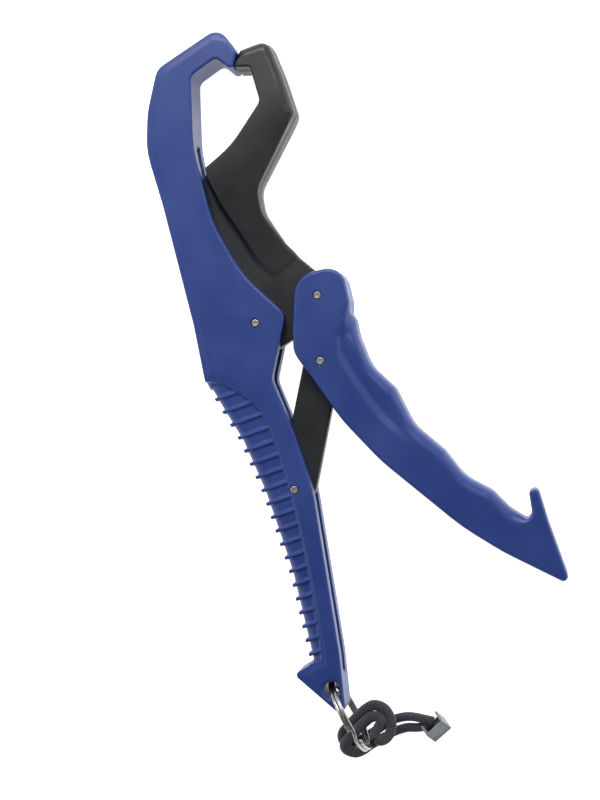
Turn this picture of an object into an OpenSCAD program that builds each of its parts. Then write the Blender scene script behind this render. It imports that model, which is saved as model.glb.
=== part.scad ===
// Locking fish-lip gripper, lying on its side: jaws towards +Y, lever towards +X, thickness along +Z.
// Outlines are lists of [x, y, corner radius], measured from the jaw pivot.

/* [Overall] */
// Thickness of the body, the lever and the jaw's nose
grip_t = 18; // [16:0.5:20]
// Width of the slot that the jaw, the link and the lever's fork share
slot_t = 6.4; // [6.2:0.1:7]
// Thickness of the jaw's tang and of the link
tang_t = 5.6; // [5:0.1:5.8]
// Height of the jaw pivot's middle plane above the ground
mid_z = 14; // [14:0.5:16]

/* [Pins] */
// Diameter of the four pivot pins
pin_d = 3; // [2.5:0.1:3.2]
// How far each pin's end lies below the plastic's face
pin_sink = 0.2; // [0:0.05:0.5]
// Radial play of a pin in the part that turns on it
pin_play = 0.05; // [0.02:0.01:0.1]
// Radial play in the link's upper hole, where the closed linkage is opened
link_play = 0.8; // [0.7:0.05:1]

/* [Thumb grip] */
// Number of raised ribs along the handle's back
rib_count = 20; // [10:1:21]
// Distance from rib to rib
rib_pitch = 5; // [4:0.05:5]
// Width of one rib
rib_w = 1.3; // [1:0.1:1.6]
// Depth of the grip's recess below the faces and the back edge
recess = 1; // [0.5:0.1:1.2]

/* [Split ring] */
// Outer diameter of the ring
ring_od = 28; // [27:0.5:29]
// Width of the ring's wire, from inside to outside
ring_wire = 1.8; // [1.5:0.1:1.8]
// Thickness of the ring's two coils together
ring_stack = 2.6; // [2:0.1:2.6]
// Diameter of the hole that the ring hangs in
ring_hole_d = 5.9; // [5.9:0.1:6.2]

/* [Lanyard] */
// Diameter of the elastic cord
cord_d = 3.6; // [3.2:0.1:3.6]
// Width of the cord-end clip
clip_w = 8; // [7.5:0.5:8.5]
// Depth of the clip's base, from its lid to its open end
clip_l = 5.1; // [5:0.1:5.5]
// Thickness of the clip's end lid
lid_t = 1.3; // [1:0.1:2]
// Thickness of the clip
clip_h = 5.8; // [5.4:0.2:6]

/* [Hidden] */

// Place of the jaw pivot in the part's frame
pivot_at = [-31.9, 26.2, mid_z];
half_t = grip_t / 2;
past = 1;
round_fn = 48;
sides = 8;
pin_r = pin_d / 2;

// Pivots and the ring's hole, measured from the jaw pivot
jaw_pivot = [0, 0];
lever_pivot = [23.7, 5.0];
link_pivot = [20.0, -18.0];
anchor_pivot = [1.6, -60.7];
ring_hole = [0.3, -132.5];

// Split ring: its centre lies this far from the hole's axis, in this direction
ring_reach = 11.5;
ring_turn = -73;
ring_chamfer = 1;

// Body: fixed jaw, shoulder, handle and heel spur
body_outline = [
    [8.7, 106.1, 5], [-16.4, 96.6, 7], [-22.9, 82.2, 30], [-26.1, 68.9, 30], [-24.2, 48, 60],
    [-22, 4.2, 30], [-22.1, -17.3, 6], [-14.2, -39.7, 20], [-9.9, -59.6, 40], [-6.1, -89.2, 60],
    [-5.2, -122.1, 1.5], [-12, -124.6, 1.5], [3.2, -143.8, 2], [5.6, -120.6, 40], [8.1, -61.5, 50],
    [5.6, -40.7, 50], [1.6, -20.7, 6], [11.1, 1, 5], [-1.5, 18.4, 45], [-8, 39, 40],
    [-9.1, 66.1, 40], [-4.8, 91.3, 3.5], [5.4, 95.6, 2.5], [9.1, 91.1, 1], [10.8, 90.9, 0.6],
    [13.1, 96, 1.2]
];
body_slot = [
    [29.9, 69.2], [-8.2, 68.5], [-13.8, 62.2], [-17.8, 52.2], [-18.7, 40.2], [-17.6, 8.2],
    [-17.5, -11.8], [-12.6, -26.8], [-8.7, -41.7], [-5.7, -61.5], [-2.8, -87.2], [-1.6, -108.9],
    [0.9, -120.7], [4.9, -128.7], [30, -128.2]
];
// Places of the thumb grip's edges along the handle, as [y, x]
grip_back = [[-19.8, -21.5], [-29.8, -18], [-39.7, -14.3], [-49.7, -12.1], [-59.6, -10], [-74.4, -8.1],
             [-89.2, -6.3], [-105, -5.8], [-121.8, -5.3]];
grip_front = [[-16.8, -21.1], [-18.8, -16.1], [-23.8, -10.4], [-27.8, -6.8], [-31.8, -4.3],
              [-36.8, -2.9], [-46.7, -1.4], [-56.6, -0.5], [-67.4, 0.3], [-91.1, 0.6],
              [-106.9, -0.3], [-115.8, -0.7]];
first_rib = -23.8;
// The ribs lean up towards the lever by this angle
rib_turn = 8;
rib_drop = 0.2;
rib_tuck = 0.4;

// Jaw: hooked nose, throat, arm and the tang that turns in the body's slot
jaw_arm = [
    [11.2, 90.7, 0.6], [13.6, 95.8, 0.8], [14.3, 96.7, 0.8], [24.7, 98, 4.5], [27.3, 84, 60],
    [28.9, 70.2, 2.5], [10.1, 46.9, 10], [9.9, 38.2, 12], [15.2, 25.7, 8], [18.6, 20.6, 2],
    [9.2, 16, 2], [4.2, 23.5, 8], [-3.7, 44.2, 20], [-6.2, 54, 3], [-6.6, 58, 0.8],
    [4.3, 63.8, 40], [17.7, 76.9, 3.5], [17, 85.5, 3], [16.7, 89.6, 1.5]
];
jaw_tang = [
    [9.9, 38.2, 12], [14.9, 25.7, 30], [27.4, 10.2, 4], [31.2, 5, 5], [28.4, -2.4, 5],
    [18.5, -3.7, 5], [12, -7.7, 2], [2.6, -11.6, 10], [-8.6, -10.9, 9], [-12.7, 6.1, 10],
    [-14.4, 34.1, 20], [-12.2, 50.6, 3], [-6.6, 57.4, 1], [1.9, 51.8, 8]
];
// The arm's faces slope down to the tang: where they meet it, which way and how steeply
taper_at = [11.4, 22.1];
taper_turn = -57.7;
taper_slope = 10;

// Lever: fork, grip with finger scallops, end spur and point
lever_outline = [
    [17.3, 13.7, 9.2], [12.5, -5, 30], [11.2, -13, 9], [23.3, -40.2, 60], [33.9, -57, 60],
    [56.8, -85, 80], [69, -96.4, 80], [90, -112.6, 1.7], [86.7, -89.2, 30], [85.6, -77, 1.8],
    [82.2, -77.1, 1.5], [81.8, -85.2, 1.5], [79.7, -87.2, 2], [74.4, -81.9, 8], [70, -75, 5],
    [61.4, -67.9, 16], [56.3, -57.6, 4], [47.5, -46.6, 16], [43.8, -32.7, 3.5], [36.9, -23, 14],
    [34.9, -12, 10], [34.9, -6, 3], [33.7, -3, 1.5], [34.5, 0.5, 4], [34.3, 13.7, 9.2]
];
lever_slot = [
    [-5.1, 30], [32, 29.4], [32.4, 7], [32.2, -2.3], [28.8, -12.1], [27.6, -19],
    [28.6, -27.9], [31.4, -39.7], [33.3, -49.6], [22.1, -53.5], [-5, -29.8]
];
// How far the grip's faces lie below the inner band, and where
grip_drop = 1.2;
lever_grip = [
    [34.5, -2.9, 1], [27.4, -10.5, 3], [26.4, -17, 8], [29.6, -26.5, 20], [36.3, -41.7, 30],
    [49.2, -60.8, 20], [61.4, -72.6, 2], [88.5, -68.9, 1], [59.5, -0.5, 1]
];

// Link between the lever and the body
link_outline = [
    [14.2, -11.6, 6], [26.4, -13.5, 6], [26, -20.4, 8], [8.5, -62.1, 5], [5.1, -67, 5],
    [-3.5, -65.5, 6], [-4.3, -57.6, 6], [13.9, -15.6, 8]
];

// Routes of the cord's two strands, in the part's frame, from the loop's closed end to the clip
outer_route = [
    [-21.5, -127.9, 8.7], [-20, -129.2, 8.5], [-17.5, -128.4, 7.9], [-15.6, -125.7, 7.1],
    [-15.3, -122, 6.7], [-16.8, -118.3, 6.5], [-20.1, -116.5, 6.2], [-23.5, -117.5, 5.6],
    [-26.4, -119.3, 4.8], [-29.1, -121.1, 4.3], [-31.5, -122.9, 3.8], [-33.7, -124.8, 3.3],
    [-34.2, -127.3, 2.8], [-32.4, -128.8, 2.4], [-29.5, -129, 2.1], [-27, -128.2, 2],
    [-24.2, -127.2, 2], [-21.4, -126.1, 2], [-18.6, -124.8, 1.9], [-15.5, -123.7, 2.2],
    [-12.2, -123.1, 2.8], [-8.6, -123.2, 3.8], [-5.4, -124, 5.2], [-0.2, -126.1, 5.5]
];
inner_route = [
    [-21.5, -127.9, 8.7], [-21.6, -126.1, 8.5], [-20, -124.4, 8.2], [-18.6, -122.4, 7.8],
    [-19.5, -120.6, 7.4], [-21.9, -120.4, 7], [-24.2, -121.5, 6.6], [-26.5, -123, 6.4],
    [-29, -124.7, 6.9], [-31.4, -126.5, 7], [-33.4, -128.6, 7], [-32.8, -130.6, 6.6],
    [-30.1, -132.1, 6], [-27.3, -131.7, 5.6], [-24.5, -130.5, 5.5], [-21.7, -129.6, 5],
    [-18.9, -128.8, 4.2], [-16.2, -127.9, 3.1], [-13.2, -127.4, 2.4], [-10.1, -127.2, 2.4],
    [-7.1, -127.6, 3.4], [-2.7, -127.7, 4.8]
];
// Clip: the middle of its lid's outer face, its turn on the ground and its lean
clip_at = [1.04, -130.21, 2.14];
clip_turn = 30;
clip_lean = 42;

// The points of a corner's arc, from the outline's corner and its neighbours
function unit(v) = v / norm(v);
function flat(p) = [p.x, p.y];
function corner(before, at, after, r) =
    let (a = unit(before - at), b = unit(after - at))
    let (half = acos(a * b) / 2, back = r / tan(half), steps = max(2, ceil((180 - 2 * half) / 9)))
    let (room = 0.49 * min(norm(before - at), norm(after - at)))
    let (reach = min(back, room), rr = reach * tan(half))
    let (centre = at + unit(a + b) * rr / sin(half))
    let (from = at + a * reach - centre, to = at + b * reach - centre)
    [for (i = [0:steps]) centre + rr * unit(from * sin((90 - half) * 2 * (1 - i / steps))
        + to * sin((90 - half) * 2 * i / steps))];
function outline(p) =
    let (n = len(p))
    [for (i = [0:n - 1])
        let (before = flat(p[(i + n - 1) % n]), at = flat(p[i]), after = flat(p[(i + 1) % n]))
        each (p[i][2] > 0 && norm(unit(at - before) - unit(after - at)) > 0.01
            ? corner(before, at, after, p[i][2]) : [at])];

// A flat piece of the given thickness about the middle plane, from an outline with corner radii
module slab(points, t) {
    translate([0, 0, -t / 2]) linear_extrude(t) polygon(outline(points));
}

module hole(at, r) {
    translate([at.x, at.y, -half_t - past]) cylinder(h = grip_t + 2 * past, r = r, $fn = round_fn);
}

module pin(at) {
    translate(pivot_at) translate([at.x, at.y, -half_t + pin_sink])
        cylinder(h = grip_t - 2 * pin_sink, r = pin_r, $fn = round_fn);
}

// One rib across the back of the handle, from the back edge to the recess's front edge
module rib(y) {
    back_x = lookup(y, grip_back);
    front_y = y + tan(rib_turn) * (lookup(y, grip_front) - back_x);
    reach = (lookup(front_y, grip_front) + rib_tuck - back_x) / cos(rib_turn);
    translate([back_x, y, -half_t]) rotate([0, 0, rib_turn])
        translate([0, -rib_w / 2, 0]) cube([reach, rib_w, grip_t]);
}

// The recess that the ribs stand in, open towards the back edge
grip_band = concat([for (p = grip_front) [p[1], p[0]]],
    [[-1.4, -121.3], [-20, -121.3], [-40, -100], [-40, -16.8]]);

module body() {
    color([0.17, 0.25, 0.6]) translate(pivot_at) {
        difference() {
            slab(body_outline, grip_t);
            for (side = [-1, 1])
                translate([0, 0, side * half_t - recess]) linear_extrude(2 * recess) polygon(grip_band);
            translate([0, 0, -half_t - past]) linear_extrude(grip_t + 2 * past) polygon(concat(
                [for (p = grip_back) [p[1] + recess, p[0]]], [[-30, -121.8], [-30, -19.8]]));
            translate([0, 0, -slot_t / 2]) linear_extrude(slot_t) polygon(body_slot);
            hole(jaw_pivot, pin_r);
            hole(anchor_pivot, pin_r);
            hole(ring_hole, ring_hole_d / 2);
            for (turn = [0, 180])
                translate([ring_hole.x, ring_hole.y, 0]) rotate([turn, 0, 0])
                    translate([0, 0, half_t - ring_chamfer]) cylinder(h = ring_chamfer + 0.01,
                        r1 = ring_hole_d / 2, r2 = ring_hole_d / 2 + ring_chamfer, $fn = round_fn);
        }
        intersection() {
            slab(body_outline, grip_t - 2 * rib_drop);
            difference() {
                for (i = [0:rib_count - 1]) rib(first_rib - i * rib_pitch);
                translate([0, 0, -slot_t / 2]) linear_extrude(slot_t) polygon(body_slot);
            }
        }
    }
}

module jaw() {
    color([0.16, 0.16, 0.17]) translate(pivot_at) difference() {
        union() {
            difference() {
                slab(jaw_arm, grip_t);
                for (side = [0, 1]) mirror([0, 0, side])
                    translate([taper_at.x, taper_at.y, tang_t / 2]) rotate([0, 0, taper_turn])
                        rotate([0, taper_slope, 0]) translate([-60, -50, 0]) cube([90, 100, 20]);
            }
            slab(jaw_tang, tang_t);
        }
        hole(jaw_pivot, pin_r + pin_play);
        hole(lever_pivot, pin_r + pin_play);
    }
}

module lever() {
    color([0.17, 0.25, 0.6]) translate(pivot_at) difference() {
        slab(lever_outline, grip_t);
        for (side = [-1, 1])
            translate([0, 0, side * half_t]) linear_extrude(2 * grip_drop, center = true)
                polygon(outline(lever_grip));
        translate([0, 0, -slot_t / 2]) linear_extrude(slot_t) polygon(lever_slot);
        hole(lever_pivot, pin_r);
        hole(link_pivot, pin_r);
    }
}

module link() {
    color([0.12, 0.12, 0.13]) translate(pivot_at) difference() {
        slab(link_outline, tang_t);
        hole(link_pivot, pin_r + link_play);
        hole(anchor_pivot, pin_r + pin_play);
    }
}

module jaw_pin() {
    color("silver") pin(jaw_pivot);
}

module lever_pin() {
    color("silver") pin(lever_pivot);
}

module link_pin() {
    color("silver") pin(link_pivot);
}

module anchor_pin() {
    color("silver") pin(anchor_pivot);
}

// Two flat coils of rounded wire lying against each other
module split_ring() {
    ring_r = (ring_od - ring_wire) / 2;
    coil = ring_stack / 2;
    color("silver") translate(pivot_at) translate([ring_hole.x, ring_hole.y, 0]) rotate([0, 0, ring_turn])
        translate([ring_reach, 0, 0]) rotate([90, 0, 0]) rotate_extrude($fn = 96)
            for (side = [-1, 1])
                translate([ring_r, side * coil / 2]) square([ring_wire, coil], center = true);
}

// A round cord swept along a route of points
function along(r, i) = unit(r[min(i + 1, len(r) - 1)] - r[max(i - 1, 0)]);
function ring_points(r, i, d) =
    let (t = along(r, i), u = unit(cross(t, abs(t.z) > 0.9 ? [1, 0, 0] : [0, 0, 1])), v = cross(t, u))
    [for (k = [0:sides - 1]) r[i] + d / 2 * (u * cos(360 * k / sides) + v * sin(360 * k / sides))];
module tube(r, d) {
    n = len(r);
    polyhedron(
        [for (i = [0:n - 1]) each ring_points(r, i, d)],
        [[for (k = [sides - 1:-1:0]) k], [for (k = [0:sides - 1]) (n - 1) * sides + k],
         for (i = [0:n - 2]) for (k = [0:sides - 1])
            [i * sides + k, i * sides + (k + 1) % sides,
                (i + 1) * sides + (k + 1) % sides, (i + 1) * sides + k]]);
}

module cord_outer_strand() {
    color([0.2, 0.21, 0.23]) tube(outer_route, cord_d);
}

module cord_inner_strand() {
    color([0.2, 0.21, 0.23]) tube(inner_route, cord_d);
}

// A block of the clip, from one height above the lid's outer face to another
module clip_block(from, to) {
    translate(clip_at) rotate([0, 0, clip_turn]) rotate([-clip_lean, 0, 0])
        translate([-clip_w / 2, -clip_h / 2, from]) cube([clip_w, clip_h, to - from]);
}

module clip_base() {
    color([0.3, 0.31, 0.32]) clip_block(lid_t, lid_t + clip_l);
}

module clip_lid() {
    color([0.3, 0.31, 0.32]) clip_block(0, lid_t);
}

body();
jaw();
lever();
link();
jaw_pin();
lever_pin();
link_pin();
anchor_pin();
split_ring();
cord_outer_strand();
cord_inner_strand();
clip_base();
clip_lid();
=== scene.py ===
"""Looks for the fish-lip gripper: moulded plastics, turned pins, split ring, knotted cord and its clip."""

import math

import bpy
import numpy as np
from mathutils import Matrix, Vector


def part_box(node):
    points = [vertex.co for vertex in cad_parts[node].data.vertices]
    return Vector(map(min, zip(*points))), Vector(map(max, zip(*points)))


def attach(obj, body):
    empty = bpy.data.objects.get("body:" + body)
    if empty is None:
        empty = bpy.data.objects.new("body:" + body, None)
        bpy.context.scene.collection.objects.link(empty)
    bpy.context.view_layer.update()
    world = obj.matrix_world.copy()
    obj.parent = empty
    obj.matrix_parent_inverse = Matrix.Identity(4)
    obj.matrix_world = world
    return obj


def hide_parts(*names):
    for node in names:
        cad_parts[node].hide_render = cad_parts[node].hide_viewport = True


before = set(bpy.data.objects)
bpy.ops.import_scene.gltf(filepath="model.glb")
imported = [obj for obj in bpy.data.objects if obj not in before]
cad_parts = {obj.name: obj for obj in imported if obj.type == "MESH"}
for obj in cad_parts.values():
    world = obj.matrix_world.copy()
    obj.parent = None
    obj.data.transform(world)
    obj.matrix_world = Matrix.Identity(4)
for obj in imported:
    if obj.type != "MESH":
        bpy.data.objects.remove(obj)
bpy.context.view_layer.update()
MM = 0.001
# Middle plane, and half thicknesses of the faces, the slots and the flat parts, in millimetres
MID = 14.0
FACE, SLOT, FLAT = 9, 3.2, 2.8
PIVOT = (-31.9, 26.2)
JAW_PIVOT = (0.0, 0.0)
LEVER_PIVOT = (23.7, 5.0)
LINK_PIVOT = (20.0, -18.0)
ANCHOR = (1.6, -60.7)
RING_HOLE = (0.3, -132.5)


def at(p):
    """A point given from the jaw pivot, in the row frame, in millimetres."""
    return np.array([p[0] + PIVOT[0], p[1] + PIVOT[1]])


# ---------------------------------------------------------------- camera
def aim(ob, place, target, up):
    """Points an object's -Z at the target, with +Y as near to up as can be."""
    back = (Vector(place) - Vector(target)).normalized()
    right = Vector(up).cross(back).normalized()
    over = back.cross(right)
    m = Matrix((right, over, back)).transposed().to_4x4()
    m.translation = Vector(place)
    ob.matrix_world = m


camera = bpy.data.objects.new("camera", bpy.data.cameras.new("camera"))
bpy.context.scene.collection.objects.link(camera)
camera.data.lens = 79.65
camera.data.sensor_width = 36
camera.data.clip_start = 0.01
camera.data.clip_end = 20
aim(camera, (0.0636, -0.02345, 0.6424), (-0.0217, -0.0038, 0.023), (0.2046, 0.9789, 0))
bpy.context.scene.camera = camera


# ---------------------------------------------------------------- plans: distances to a CAD part's outline
def section(node, z):
    """The segments where the plane at height z above the middle plane cuts a CAD node."""
    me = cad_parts[node].data
    me.calc_loop_triangles()
    co = np.zeros(len(me.vertices) * 3)
    me.vertices.foreach_get("co", co)
    co = co.reshape(-1, 3) / MM
    tri = np.zeros(len(me.loop_triangles) * 3, int)
    me.loop_triangles.foreach_get("vertices", tri)
    tri = tri.reshape(-1, 3)
    d = co[:, 2] - MID - z
    cut = tri[(d[tri].min(1) < 0) & (d[tri].max(1) >= 0)]
    ends, full = np.zeros((len(cut), 2, 2)), np.zeros(len(cut), int)
    for a, b in ((0, 1), (1, 2), (2, 0)):
        i, j = cut[:, a], cut[:, b]
        rows = np.nonzero((d[i] < 0) != (d[j] < 0))[0]
        i, j = i[rows], j[rows]
        t = (d[i] / (d[i] - d[j]))[:, None]
        ends[rows, full[rows]] = co[i, :2] + t * (co[j, :2] - co[i, :2])
        full[rows] += 1
    return ends


def loop(points):
    """The segments of a closed outline given from the jaw pivot."""
    p = np.array([at(q) for q in points])
    return np.stack([p, np.roll(p, -1, 0)], 1)


def without(segments, holes):
    """The segments that aren't on a round hole, where holes are (place, radius)."""
    keep = np.ones(len(segments), bool)
    for place, r in holes:
        keep &= np.hypot(*(segments.mean(1) - at(place)).T) > r
    return segments[keep]


class Plan:
    """Signed distance to an outline, negative inside, kept on a grid and read between its points."""

    def __init__(self, segments, low, high, step=0.3):
        self.low, self.step = np.array(low), step
        n = [int((high[i] - low[i]) / step) + 2 for i in (0, 1)]
        x, y = (low[i] + step * np.arange(n[i]) for i in (0, 1))
        a, b = segments[:, 0], segments[:, 1]
        near = np.full((n[0], n[1]), 1e9)
        inside = np.zeros((n[0], n[1]), bool)
        for (ax, ay), (bx, by) in zip(a, b):
            ux, uy = bx - ax, by - ay
            size = ux * ux + uy * uy
            if size < 1e-12:
                continue
            t = np.clip(((x[:, None] - ax) * ux + (y[None, :] - ay) * uy) / size, 0, 1)
            gap = (x[:, None] - ax - t * ux) ** 2 + (y[None, :] - ay - t * uy) ** 2
            np.minimum(near, gap, out=near)
            if (ay > by) != (ay < by):
                rows = (ay > y) != (by > y)
                if rows.any():
                    cross = ax + (y[rows] - ay) * ux / uy
                    inside[:, rows] ^= x[:, None] < cross[None, :]
        self.grid = np.sqrt(near) * np.where(inside, -1, 1)

    def __call__(self, x, y):
        n = self.grid.shape
        u = np.clip((x - self.low[0]) / self.step, 0, n[0] - 1.001)
        v = np.clip((y - self.low[1]) / self.step, 0, n[1] - 1.001)
        i, j = u.astype(int), v.astype(int)
        u, v, g = u - i, v - j, self.grid
        return ((g[i, j] * (1 - u) + g[i + 1, j] * u) * (1 - v)
                + (g[i, j + 1] * (1 - u) + g[i + 1, j + 1] * u) * v)


def smax(a, b, k):
    return np.maximum(a, b) + np.maximum(k - np.abs(a - b), 0) ** 2 / (4 * k)


def smin(a, b, k):
    return -smax(-a, -b, k)


def edge(d, w, r):
    """A plate whose rim is rounded by r: d is the distance to its outline and w to its faces."""
    p, q = d + r, w + r
    return np.minimum(np.maximum(p, q), 0) + np.hypot(np.maximum(p, 0), np.maximum(q, 0)) - r


def ease(t, a, b):
    t = np.clip((t - a) / (b - a), 0, 1)
    return t * t * (3 - 2 * t)


# ---------------------------------------------------------------- meshes from distance fields
HALF = [0, 1.2, 2.2, 2.8, 3.05, 3.35, 3.6, 4.2, 5.2, 6, 6.5, 7, 7.4, 7.7, 7.95, 8.2, 8.45, 8.7, 8.9, 9.15, 9.5]


def nets(f, axes):
    """Surface nets on a grid with uneven steps: the points and the four-sided faces of f = 0."""
    corners, points = [], []
    for a in range(3):
        lo = tuple(slice(None, -1) if k == a else slice(None) for k in range(3))
        hi = tuple(slice(1, None) if k == a else slice(None) for k in range(3))
        e = np.argwhere((f[lo] < 0) != (f[hi] < 0))
        one = np.zeros(3, int)
        one[a] = 1
        va, vb = f[tuple(e.T)], f[tuple((e + one).T)]
        p = np.stack([axes[k][e[:, k]] for k in range(3)], 1)
        p[:, a] += va / (va - vb) * (axes[a][e[:, a] + 1] - axes[a][e[:, a]])
        b, c = (a + 1) % 3, (a + 2) % 3
        quad = []
        for db, dc in ((0, 0), (-1, 0), (-1, -1), (0, -1)):
            q = e.copy()
            q[:, b] += db
            q[:, c] += dc
            quad.append(np.ravel_multi_index(q.T, f.shape))
        quad = np.stack(quad, 1)
        quad[va >= 0] = quad[va >= 0][:, ::-1]
        corners.append(quad)
        points.append(p)
    corners, points = np.concatenate(corners), np.concatenate(points)
    ids, faces = np.unique(corners, return_inverse=True)
    faces = faces.reshape(-1, 4)
    count = np.bincount(faces.ravel(), minlength=len(ids))
    place = np.stack([np.bincount(faces.ravel(), np.repeat(points[:, k], 4), len(ids)) / count
                      for k in range(3)], 1)
    return place, faces


def solid(name, field, low, high, step=0.4, keep=0.4):
    """A mesh of field = 0, its points drawn onto the surface, with the flat parts thinned out."""
    z = MID + np.array([-h for h in HALF[:0:-1]] + HALF)
    axes = [np.arange(low[0], high[0] + step, step), np.arange(low[1], high[1] + step, step), z]
    f = field(axes[0][:, None, None], axes[1][None, :, None], z[None, None, :])
    place, faces = nets(f, axes)
    for _ in range(4):
        v = field(*place.T)
        g = np.stack([field(*(place + 0.06 * d).T) - field(*(place - 0.06 * d).T) for d in np.eye(3)], 1) / 0.12
        move = g * (v / np.maximum((g * g).sum(1), 0.2))[:, None]
        place -= np.clip(move, -0.25, 0.25)
    me = bpy.data.meshes.new(name)
    me.from_pydata((place * MM).tolist(), [], faces.tolist())
    ob = bpy.data.objects.new(name, me)
    bpy.context.scene.collection.objects.link(ob)
    thin = ob.modifiers.new("thin", "DECIMATE")
    thin.ratio = keep
    baked = bpy.data.meshes.new_from_object(ob.evaluated_get(bpy.context.evaluated_depsgraph_get()))
    ob.modifiers.clear()
    ob.data = baked
    co = np.zeros(len(baked.vertices) * 3)
    baked.vertices.foreach_get("co", co)
    place = co.reshape(-1, 3) / MM
    n = np.stack([field(*(place + 0.05 * d).T) - field(*(place - 0.05 * d).T) for d in np.eye(3)], 1)
    n /= np.maximum(np.linalg.norm(n, axis=1), 1e-9)[:, None]
    baked.shade_smooth()
    baked.normals_split_custom_set_from_vertices(n.tolist())
    print(name, len(faces), "quads,", len(baked.polygons), "kept")
    return ob


def bounds_of(node):
    a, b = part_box(node)
    return ((a.x / MM - 2, a.y / MM - 2), (b.x / MM + 2, b.y / MM + 2))


def rounded(points):
    """An outline with its corners rounded, from (x, y, corner radius)."""
    out, n = [], len(points)
    for i in range(n):
        before, here, after = (np.array(points[j % n][:2]) for j in (i - 1, i, i + 1))
        a, b = before - here, after - here
        room = 0.49 * min(np.hypot(*a), np.hypot(*b))
        a, b = a / np.hypot(*a), b / np.hypot(*b)
        half = math.acos(np.clip(a @ b, -1, 1)) / 2
        reach = min(points[i][2] / math.tan(half), room)
        for t in np.linspace(0, 1, 9):
            out.append((1 - t) ** 2 * (here + reach * a) + 2 * t * (1 - t) * here + t * t * (here + reach * b))
    return out


def bend(values):
    """A smooth-enough line through (place, value) pairs."""
    places, heights = zip(*values)
    return lambda t: np.interp(t, places, heights)


# The slots' outlines and the jaw's arm, from the jaw pivot
BODY_SLOT = [(29.9, 69.2), (-8.2, 68.5), (-13.8, 62.2), (-17.8, 52.2), (-18.7, 40.2), (-17.6, 8.2),
             (-17.5, -11.8), (-12.6, -26.8), (-8.7, -41.7), (-5.7, -61.5), (-2.8, -87.2), (-1.6, -108.9),
             (0.9, -120.7), (4.9, -128.7), (30, -128.2)]
LEVER_SLOT = [(-5.1, 30), (32, 29.4), (32.4, 7), (32.2, -2.3), (28.8, -12.1), (27.6, -19),
              (28.6, -27.9), (31.4, -39.7), (33.3, -49.6), (22.1, -53.5), (-5, -29.8)]
ARM = [(11.2, 90.7, 0.6), (13.6, 95.8, 0.8), (14.3, 96.7, 0.8), (24.7, 98, 4.5), (27.3, 84, 60),
       (28.9, 70.2, 2.5), (10.1, 46.9, 10), (9.9, 38.2, 12), (15.2, 25.7, 8), (18.6, 20.6, 2), (9.2, 16, 2),
       (4.2, 23.5, 8),
       (-3.7, 44.2, 20), (-6.2, 54, 3), (-6.6, 58, 0.8), (4.3, 63.8, 40), (17.7, 76.9, 3.5), (17, 85.5, 3),
       (16.7, 89.6, 1.5)]
# Middle lines of the body, its beak, the jaw's arm and the lever, which part outer from inner edges
# Pairs are (y, x), and (x, y) for the beak
BODY_MID = bend([(-143, 1), (-120, 1), (-90, 0.8), (-60, -0.5), (-40, -4), (-20, -9), (0, -6), (20, -12),
                 (40, -16), (66, -17.5), (85, -14), (95, -6)])
BEAK_MID = bend([(-17, 84), (-11, 92), (-4, 96.5), (5, 100.5), (12, 101)])
ARM_MID = bend([(16, 13.5), (26, 9.5), (38, 4.5), (47, 3.2), (58, 7.5), (64, 14), (70, 19), (77, 22.5),
                (98, 21.5)])
LEVER_MID = bend([(-112, 88), (-105, 82), (-88, 70), (-68, 53), (-45, 37), (-25, 26), (-3, 24), (15, 25)])


def make_body():
    low, high = bounds_of("body")
    holes = [(JAW_PIVOT, 1.7), (ANCHOR, 1.7), (RING_HOLE, 4.3)]
    main, ribbed, floor = (Plan(without(section("body", h), holes), low, high) for h in (8.9, 8.5, 6))
    slot = Plan(loop(BODY_SLOT), low, high)

    def field(x, y, z):
        w = np.abs(z - MID)
        px, py = x - PIVOT[0], y - PIVOT[1]
        outer = np.maximum(1 - ease(px - BODY_MID(py), -2, 2), ease(py - BEAK_MID(px), -1.5, 1.5) * (py > 80))
        f = smin(edge(main(x, y), w - FACE, 1.0 + 2.4 * outer),
                 edge(floor(x, y), w - 8, 1.2 + 2.2 * outer), 0.7)
        f = smin(f, edge(ribbed(x, y), w - 8.75, 0.6), 0.6)
        f = np.maximum(f, np.minimum(floor(x, y), ribbed(x, y)))
        f = smax(f, -smax(slot(x, y), w - SLOT, 0.2), 0.4)
        for p in (JAW_PIVOT, ANCHOR):
            f = smax(f, smin(1.62 - np.hypot(x - at(p)[0], y - at(p)[1]), w - 8.2, 0.1), 0.15)
        p = at(RING_HOLE)
        r = np.hypot(x - p[0], y - p[1])
        return smax(f, 2.95 + np.maximum(w - 8, 0) * 0.9 - r, 0.35)

    return solid("handle_shell", field, low, high, keep=0.42)


def make_lever():
    low, high = bounds_of("lever")
    holes = [(LEVER_PIVOT, 1.7), (LINK_PIVOT, 1.7)]
    band, whole = (Plan(without(section("lever", h), holes), low, high) for h in (8.6, 5))
    slot = Plan(loop(LEVER_SLOT), low, high)

    def field(x, y, z):
        w = np.abs(z - MID)
        b, d = band(x, y), whole(x, y)
        px, py = x - PIVOT[0], y - PIVOT[1]
        fade = ease(py, -58, -34)
        outer = ease(px - LEVER_MID(py), -1, 5) * ease(-py, -1, 6) * (1 - ease(px, 74, 81))
        h = FACE - fade * (1.35 - 0.95 * ease(b, 1.5, 8)) * ease(b, -1.0, 2.4)
        f = edge(d, w - h, 1.2 + 3.0 * outer)
        f = smax(f, -smax(slot(x, y), w - SLOT, 0.2), 0.4)
        for p in (LEVER_PIVOT, LINK_PIVOT):
            f = smax(f, smin(1.62 - np.hypot(x - at(p)[0], y - at(p)[1]), w - 8.2, 0.1), 0.15)
        return f

    return solid("lever_shell", field, low, high, keep=0.45)


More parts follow.
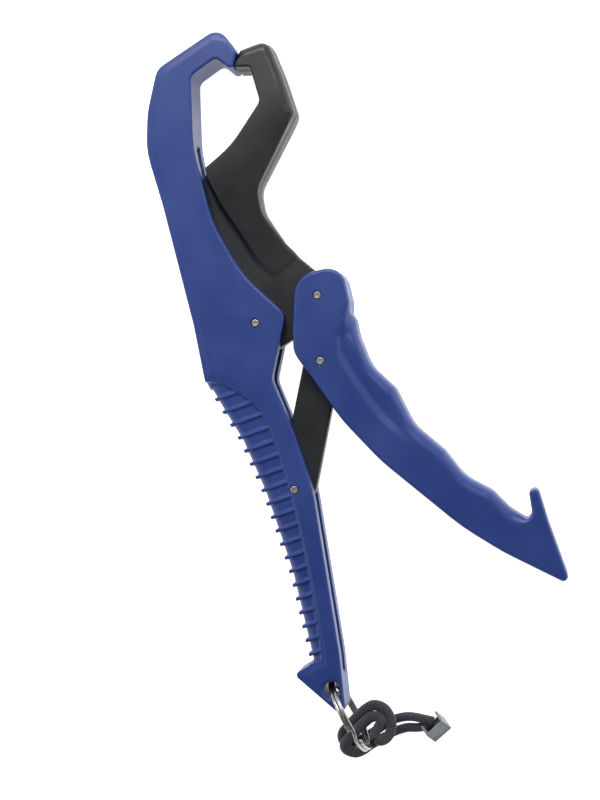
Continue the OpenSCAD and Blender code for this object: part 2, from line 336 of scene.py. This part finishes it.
def make_jaw():
    low, high = bounds_of("jaw")
    holes = [(JAW_PIVOT, 1.8), (LEVER_PIVOT, 1.8)]
    arm, tang = Plan(loop(rounded(ARM)), low, high), Plan(without(section("jaw", 1.4), holes), low, high)
    foot = at((11.4, 22.1))

    def field(x, y, z):
        w = np.abs(z - MID)
        px, py = x - PIVOT[0], y - PIVOT[1]
        s = (x - foot[0]) * 0.534 - (y - foot[1]) * 0.845
        h = smin(2.75 - 0.1763 * s, 9.0 + 0 * s, 1.2)
        outer = np.maximum(ease(px - ARM_MID(py), -1.5, 2) * ease(py, 66, 74), ease(py, 92.5, 94.5))
        r = np.minimum(0.8 + 2.5 * outer, np.maximum(h - 0.6, 0.5))
        f = smin(edge(arm(x, y), w - h, r), edge(tang(x, y), w - FLAT, 0.7), 2.2)
        for p in (JAW_PIVOT, LEVER_PIVOT):
            f = smax(f, 1.55 - np.hypot(x - at(p)[0], y - at(p)[1]), 0.15)
        return f

    return solid("jaw_shell", field, low, high, keep=0.5)


def make_link():
    low, high = bounds_of("link")
    holes = [(LINK_PIVOT, 2.4), (ANCHOR, 1.8)]
    whole = Plan(without(section("link", 1.4), holes), low, high)

    def field(x, y, z):
        f = edge(whole(x, y), np.abs(z - MID) - FLAT, 0.7)
        for p, r in ((LINK_PIVOT, 2.3), (ANCHOR, 1.55)):
            f = smax(f, r - np.hypot(x - at(p)[0], y - at(p)[1]), 0.15)
        return f

    return solid("link_bar", field, low, high, keep=0.5)


# ---------------------------------------------------------------- swept and turned pieces
def mesh(name, verts, faces, smooth=True):
    me = bpy.data.meshes.new(name)
    me.from_pydata([tuple(v) for v in verts], [], faces)
    me.validate()
    ob = bpy.data.objects.new(name, me)
    bpy.context.scene.collection.objects.link(ob)
    if smooth:
        me.shade_smooth()
    return ob


def turned(name, profile, place, segments=40):
    """A piece turned about Z from (radius, height) pairs in millimetres, with height from the middle plane."""
    verts, faces = [], []
    for r, h in profile:
        for k in range(segments):
            a = 2 * math.pi * k / segments
            verts.append(((place[0] + r * math.cos(a)) * MM, (place[1] + r * math.sin(a)) * MM, (MID + h) * MM))
    for i in range(len(profile) - 1):
        for k in range(segments):
            n = (k + 1) % segments
            faces.append((i * segments + k, i * segments + n, (i + 1) * segments + n, (i + 1) * segments + k))
    faces.append(tuple(range(segments - 1, -1, -1)))
    faces.append(tuple((len(profile) - 1) * segments + k for k in range(segments)))
    return mesh(name, verts, faces)


def make_pin(name, place):
    """A cut and tumbled steel pin with a small dimple in each end."""
    end = [(0.1, 8.71), (0.4, 8.72), (0.7, 8.75), (0.95, 8.78), (1.15, 8.78), (1.34, 8.7), (1.47, 8.52),
           (1.5, 8.2)]
    return turned(name, [(r, -h) for r, h in end] + [(r, h) for r, h in end[::-1]], at(place))


def sweep(name, centres, frames, profile, closed_ends=True, radius=None):
    """Sweeps a closed profile of (u, v) millimetres along centres; frames hold the two cross directions."""
    n, m = len(centres), len(profile)
    verts, faces = [], []
    for i, (c, (u, v)) in enumerate(zip(centres, frames)):
        k = 1 if radius is None else radius[i]
        for a, b in profile:
            verts.append((np.array(c) + k * (a * np.array(u) + b * np.array(v))) * MM)
    for i in range(n - 1):
        for k in range(m):
            j = (k + 1) % m
            faces.append((i * m + k, (i + 1) * m + k, (i + 1) * m + j, i * m + j))
    if closed_ends:
        faces.append(tuple(range(m)))
        faces.append(tuple((n - 1) * m + k for k in range(m - 1, -1, -1)))
    return mesh(name, verts, faces)


RING_TURN = math.radians(-73)
RING_E = np.array([math.cos(RING_TURN), math.sin(RING_TURN), 0])
RING_N = np.array([-RING_E[1], RING_E[0], 0])
RING_C = np.append(at(RING_HOLE), MID) + 11.5 * RING_E


def make_ring():
    """A split ring: one wire in two flat coils, stepping from one to the other beside its two ends."""
    start, gap, steps = math.radians(62), math.radians(13), 240
    turn = np.linspace(gap, 4 * math.pi - gap, steps)
    centres, frames = [], []
    for t in turn:
        a = start + t
        across = 0.64 * (2 * float(ease(t, 2 * math.pi - gap, 2 * math.pi + gap)) - 1)
        out = math.cos(a) * RING_E + np.array([0, 0, math.sin(a)])
        centres.append(RING_C + 13.1 * out + across * RING_N)
        frames.append((out, RING_N))
    profile = []
    for k in range(16):
        a = 2 * math.pi * k / 16
        c, s = math.cos(a), math.sin(a)
        profile.append((0.88 * math.copysign(abs(c) ** 0.7, c), 0.61 * math.copysign(abs(s) ** 0.55, s)))
    return sweep("split_ring_wire", centres, frames, profile)


# The cord's two halves, in the row frame, from the loop's closed end to the clip
OUTER = [(-21.5, -127.9, 8.7), (-20, -129.2, 8.5), (-17.5, -128.4, 7.9), (-15.6, -125.7, 7.1),
         (-15.3, -122, 6.7), (-16.8, -118.3, 6.5), (-20.1, -116.5, 6.2), (-23.5, -117.5, 5.6),
         (-26.4, -119.3, 4.8), (-29.1, -121.1, 4.3), (-31.5, -122.9, 3.8), (-33.7, -124.8, 3.3),
         (-34.2, -127.3, 2.8), (-32.4, -128.8, 2.4), (-29.5, -129, 2.1), (-27, -128.2, 2), (-24.2, -127.2, 2),
         (-21.4, -126.1, 2), (-18.6, -124.8, 1.9), (-15.5, -123.7, 2.2), (-12.2, -123.1, 2.8),
         (-8.6, -123.2, 3.8), (-5.4, -124, 5.2), (-0.2, -126.1, 5.5)]
INNER = [(-21.5, -127.9, 8.7), (-21.6, -126.1, 8.5), (-20, -124.4, 8.2), (-18.6, -122.4, 7.8),
         (-19.5, -120.6, 7.4), (-21.9, -120.4, 7), (-24.2, -121.5, 6.6), (-26.5, -123, 6.4), (-29, -124.7, 6.9),
         (-31.4, -126.5, 7), (-33.4, -128.6, 7), (-32.8, -130.6, 6.6), (-30.1, -132.1, 6), (-27.3, -131.7, 5.6),
         (-24.5, -130.5, 5.5), (-21.7, -129.6, 5), (-18.9, -128.8, 4.2), (-16.2, -127.9, 3.1),
         (-13.2, -127.4, 2.4), (-10.1, -127.2, 2.4), (-7.1, -127.6, 3.4), (-2.7, -127.7, 4.8)]


def smooth_path(points, step=0.45):
    """A Catmull-Rom curve through the points, resampled to even steps."""
    p = np.array(points, float)
    p = np.vstack([2 * p[0] - p[1], p, 2 * p[-1] - p[-2]])
    out = []
    for i in range(1, len(p) - 2):
        for t in np.linspace(0, 1, 24, endpoint=False):
            a, b, c, d = p[i - 1:i + 3]
            out.append(0.5 * (2 * b + (c - a) * t + (2 * a - 5 * b + 4 * c - d) * t * t
                              + (3 * b - a - 3 * c + d) * t ** 3))
    out.append(p[-2])
    out = np.array(out)
    s = np.r_[0, np.cumsum(np.linalg.norm(np.diff(out, axis=0), axis=1))]
    even = np.linspace(0, s[-1], int(s[-1] / step) + 1)
    return np.stack([np.interp(even, s, out[:, k]) for k in range(3)], 1), even


def make_cord(name, points, radii, sides=24):
    """A braided cord: a tube with its length and turn kept as UV, in millimetres and turns."""
    c, s = smooth_path(points)
    tangent = np.gradient(c, axis=0)
    tangent /= np.linalg.norm(tangent, axis=1)[:, None]
    u = np.cross(tangent[0], (0, 0, 1))
    frames = []
    for t in tangent:
        u = u - t * (u @ t)
        u /= np.linalg.norm(u)
        frames.append((u, np.cross(t, u)))
    profile = [(math.cos(2 * math.pi * k / sides), math.sin(2 * math.pi * k / sides)) for k in range(sides)]
    r = np.interp(s / s[-1], *zip(*radii))
    ob = sweep(name, c, frames, profile, radius=r)
    uv = ob.data.uv_layers.new(name="along")
    for poly in ob.data.polygons:
        if len(poly.vertices) != 4:
            continue
        for i, li in enumerate(poly.loop_indices):
            v = poly.vertices[i]
            ring, k = v // sides, v % sides
            if k == 0 and any(w % sides == sides - 1 for w in poly.vertices):
                k = sides
            uv.data[li].uv = (s[ring], k / sides)
    ob["length"] = float(s[-1])
    return ob, c


# ---------------------------------------------------------------- materials
class Nodes:
    """A short way to write a material's node tree."""

    def __init__(self, name):
        self.mat = bpy.data.materials.new(name)
        self.mat.use_nodes = True
        self.tree = self.mat.node_tree
        self.out = next(n for n in self.tree.nodes if n.type == "BSDF_PRINCIPLED")

    def add(self, kind, inputs=(), **props):
        n = self.tree.nodes.new(kind)
        for k, v in props.items():
            setattr(n, k, v)
        for k, v in dict(inputs).items():
            if isinstance(v, bpy.types.NodeSocket):
                self.tree.links.new(v, n.inputs[k])
            else:
                n.inputs[k].default_value = v
        return n

    def math(self, op, a, b=0.0, c=0.0, clamp=False):
        return self.add("ShaderNodeMath", {0: a, 1: b, 2: c}, operation=op, use_clamp=clamp).outputs[0]

    def coord(self, what="Object", scale=(1, 1, 1), turn=(0, 0, 0)):
        t = self.add("ShaderNodeTexCoord").outputs[what]
        return self.add("ShaderNodeMapping", {"Vector": t, "Scale": scale, "Rotation": turn}).outputs[0]

    def noise(self, vector, scale, detail=3.0, rough=0.5):
        return self.add("ShaderNodeTexNoise", {"Vector": vector, "Scale": scale, "Detail": detail,
                                               "Roughness": rough}).outputs["Fac"]

    def span(self, value, a, b, lo=0.0, hi=1.0):
        return self.add("ShaderNodeMapRange", {"Value": value, "From Min": a, "From Max": b,
                                               "To Min": lo, "To Max": hi}).outputs["Result"]

    def blend(self, f, a, b):
        return self.add("ShaderNodeMix", {0: f, 6: a, 7: b}, data_type="RGBA").outputs[2]

    def bump(self, height, strength, distance, normal=None):
        extra = {} if normal is None else {"Normal": normal}
        return self.add("ShaderNodeBump", {"Height": height, "Strength": strength, "Distance": distance,
                                           **extra}).outputs[0]

    def put(self, **inputs):
        for k, v in inputs.items():
            k = k.replace("_", " ")
            if isinstance(v, bpy.types.NodeSocket):
                self.tree.links.new(v, self.out.inputs[k])
            else:
                self.out.inputs[k].default_value = v
        return self.mat


def plastic(name, dark, light, rough, seam=True):
    """Moulded plastic: fine grain, cloudy sheen, hairline scratches and a mould line at mid height."""
    n = Nodes(name)
    where = n.coord()
    cloud = n.noise(where, 60.0)
    grain = n.noise(where, 5200.0, 2.0)
    fine = n.noise(n.coord(scale=(30, 900, 60), turn=(0, 0, 0.5)), 7.0, 4.0, 0.7)
    scratch = n.math("MULTIPLY", n.span(fine, 0.655, 0.69), n.span(cloud, 0.5, 0.62))
    colour = n.blend(n.span(cloud, 0.35, 0.65), dark, light)
    colour = n.blend(n.math("MULTIPLY", scratch, 0.22), colour, (0.42, 0.45, 0.55, 1))
    normal = n.bump(grain, 0.13, 0.00006)
    if seam:
        z = n.add("ShaderNodeSeparateXYZ", {0: where}).outputs[2]
        line = n.span(n.math("ABSOLUTE", n.math("SUBTRACT", z, MID * MM)), 0.00008, 0.00022, 1.0, 0.0)
        normal = n.bump(line, 0.55, 0.00010, normal)
    normal = n.bump(scratch, -0.2, 0.00003, normal)
    sheen = n.math("ADD", n.span(cloud, 0.3, 0.7, rough - 0.05, rough + 0.05), n.math("MULTIPLY", scratch, 0.15))
    return n.put(Base_Color=colour, Roughness=sheen, Normal=normal, IOR=1.5, Specular_IOR_Level=0.5)


def steel(name, colour, rough, lines):
    """Steel with fine drawn or turned lines and a few dull spots."""
    n = Nodes(name)
    where = n.coord(scale=lines)
    streak = n.noise(where, 1.0, 4.0, 0.6)
    spot = n.noise(n.coord(), 900.0, 3.0)
    base = n.blend(n.span(spot, 0.4, 0.66), colour, tuple(0.62 * c for c in colour[:3]) + (1,))
    return n.put(Base_Color=base, Metallic=1.0, Roughness=n.span(streak, 0.3, 0.7, rough - 0.06, rough + 0.12),
                 Normal=n.bump(streak, 0.25, 0.00004))


def braid(name):
    """Braided cover of the elastic cord: two families of slanting yarns over and under each other."""
    n = Nodes(name)
    uv = n.add("ShaderNodeSeparateXYZ", {0: n.add("ShaderNodeTexCoord").outputs["UV"]})
    along, turn = n.math("MULTIPLY", uv.outputs[0], 5.6), n.math("MULTIPLY", uv.outputs[1], 2 * math.pi * 9)
    a, b = n.math("SINE", n.math("ADD", turn, along)), n.math("SINE", n.math("SUBTRACT", turn, along))
    weave = n.math("MULTIPLY", n.math("ADD", n.math("MAXIMUM", a, b), 1.0), 0.5)
    fuzz = n.noise(n.coord(), 2600.0, 4.0, 0.65)
    cloud = n.noise(n.coord(), 140.0)
    shade = n.math("ADD", n.math("MULTIPLY", weave, 0.5), n.math("MULTIPLY", fuzz, 0.5))
    colour = n.blend(n.span(shade, 0.25, 0.85), (0.014, 0.016, 0.019, 1), (0.075, 0.080, 0.090, 1))
    colour = n.blend(n.span(cloud, 0.55, 0.8, 0.0, 0.3), colour, (0.12, 0.125, 0.135, 1))
    normal = n.bump(weave, 0.7, 0.00022, n.bump(fuzz, 0.35, 0.00012))
    return n.put(Base_Color=colour, Roughness=0.88, Normal=normal, Sheen_Weight=0.35, Sheen_Roughness=0.4,
                 Specular_IOR_Level=0.25)


BLUE = plastic("blue_nylon", (0.017, 0.042, 0.200, 1), (0.022, 0.050, 0.226, 1), 0.40)
BLACK = plastic("black_nylon", (0.013, 0.0135, 0.0145, 1), (0.018, 0.0185, 0.0195, 1), 0.42)
PIN = steel("pin_steel", (0.46, 0.445, 0.41, 1), 0.46, (900, 900, 900))
RING = steel("ring_steel", (0.44, 0.43, 0.41, 1), 0.24, (260, 260, 1500))
CORD = braid("braided_cord")
GREY = plastic("grey_clip", (0.22, 0.23, 0.24, 1), (0.27, 0.28, 0.29, 1), 0.5, seam=False)


def dress(ob, material, body, slot_name, *nodes):
    ob.data.materials.clear()
    ob.data.materials.append(material)
    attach(ob, body)
    if nodes:
        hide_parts(*nodes)
    return ob


# ---------------------------------------------------------------- cords first
knot = [(0, 1.8), (0.2, 1.95), (0.45, 1.95), (0.62, 1.75), (0.8, 1.65), (1, 1.6)]
outer, outer_path = make_cord("cord_outer", OUTER, knot)
inner, inner_path = make_cord("cord_inner", INNER, knot)
dress(outer, CORD, "lanyard", "cord_fabric", "cord_outer_strand")
dress(inner, CORD, "lanyard", "cord_fabric", "cord_inner_strand")


def make_clip():
    """The clip that holds both strands' ends: a cup leaning on the ground, open to the cord, and its lid."""
    m = (Matrix.Translation((0.00104, -0.13021, 0.00214)) @ Matrix.Rotation(math.radians(30), 4, "Z")
         @ Matrix.Rotation(math.radians(-42), 4, "X"))

    def boxes(name, parts, bevel):
        verts, faces = [], []
        for (x0, y0, z0), (x1, y1, z1) in parts:
            k = len(verts)
            verts += [m @ Vector((x * MM, y * MM, z * MM)) for x in (x0, x1) for y in (y0, y1) for z in (z0, z1)]
            faces += [tuple(k + i for i in f) for f in ((0, 1, 3, 2), (4, 6, 7, 5), (0, 4, 5, 1), (2, 3, 7, 6),
                                                        (0, 2, 6, 4), (1, 5, 7, 3))]
        ob = mesh(name, verts, faces, smooth=False)
        b = ob.modifiers.new("edges", "BEVEL")
        b.width = bevel * MM
        b.segments = 3
        b.harden_normals = True
        return ob

    base = boxes("clip_walls", [((-4, -2.9, 1.35), (4, 2.9, 2.4)), ((-4, -2.9, 2.4), (-3.1, 2.9, 6.4)),
                                ((3.1, -2.9, 2.4), (4, 2.9, 6.4)), ((-3.1, -2.9, 2.4), (3.1, -2.0, 6.4)),
                                ((-3.1, 2.1, 2.4), (3.1, 2.9, 3.6))], 0.22)
    lid = boxes("clip_end", [((-4, -2.9, 0), (4, 2.9, 1.2))], 0.3)
    return base, lid


clip, lid = make_clip()
dress(clip, GREY, "lanyard", "clip_plastic", "clip_base")
dress(lid, GREY, "lanyard", "clip_plastic", "clip_lid")

# ---------------------------------------------------------------- plastics, pins and ring
dress(make_body(), BLUE, "handle", "blue_plastic", "body")
dress(make_lever(), BLUE, "finger_lever", "blue_plastic", "lever")
dress(make_jaw(), BLACK, "upper_jaw", "black_plastic", "jaw")
dress(make_link(), BLACK, "coupler", "black_plastic", "link")
for pin, place, body in (("jaw_pin", JAW_PIVOT, "handle"), ("anchor_pin", ANCHOR, "handle"),
                         ("lever_pin", LEVER_PIVOT, "finger_lever"), ("link_pin", LINK_PIVOT, "finger_lever")):
    dress(make_pin(pin + "_steel", place), PIN, body, "pin_steel", pin)
dress(make_ring(), RING, "ring", "ring_steel", "split_ring")

# ---------------------------------------------------------------- floor and light
floor = mesh("floor", [(x, y, 0.005 * (y + 0.117) / 0.247 - 0.0002) for x, y in
                       ((-3, -3), (3, -3), (3, 3), (-3, 3))], [(0, 1, 2, 3)], smooth=False)
f = Nodes("pale_floor")
speck = f.noise(f.coord(), 25.0)
floor.data.materials.append(f.put(Base_Color=f.blend(speck, (0.80, 0.80, 0.81, 1), (0.84, 0.84, 0.84, 1)),
                                  Roughness=0.8, Normal=f.bump(f.noise(f.coord(), 900.0), 0.05, 0.0002),
                                  Emission_Color=(0.97, 0.98, 1.0, 1), Emission_Strength=1.0))


def light(name, place, target, size, power, colour=(1, 1, 1)):
    data = bpy.data.lights.new(name, "AREA")
    data.shape = "RECTANGLE"
    data.size, data.size_y = size
    data.energy = power
    data.color = colour
    ob = bpy.data.objects.new(name, data)
    bpy.context.scene.collection.objects.link(ob)
    aim(ob, place, target, (0, 1, 0.01))


light("top_near", (0.05, 0.42, 0.46), (-0.01, 0.0, 0.02), (0.45, 0.25), 3.2)
light("left_soft", (-0.75, 0.25, 0.45), (0, 0, 0.02), (0.7, 0.9), 2.5)
light("right_fill", (0.9, 0.0, 0.35), (0, 0, 0.02), (0.6, 0.9), 2.5)

world = bpy.data.worlds.new("studio")
world.use_nodes = True
sky = world.node_tree
background = next(n for n in sky.nodes if n.type == "BACKGROUND")
background.inputs[0].default_value = (0.93, 0.95, 1.0, 1)
where = sky.nodes.new("ShaderNodeTexCoord").outputs["Generated"]
up = sky.nodes.new("ShaderNodeSeparateXYZ")
sky.links.new(where, up.inputs[0])
value = up.outputs[2]
for op, k in (("ABSOLUTE", 0), ("SUBTRACT", 1), ("POWER", 3), ("MULTIPLY", 0.85), ("ADD", 0.14)):
    step = sky.nodes.new("ShaderNodeMath")
    step.operation = op
    side = 1 if op == "SUBTRACT" else 0
    sky.links.new(value, step.inputs[side])
    step.inputs[1 - side].default_value = k
    value = step.outputs[0]
sky.links.new(value, background.inputs[1])
bpy.context.scene.world = world
bpy.context.scene.view_settings.view_transform = "Standard"
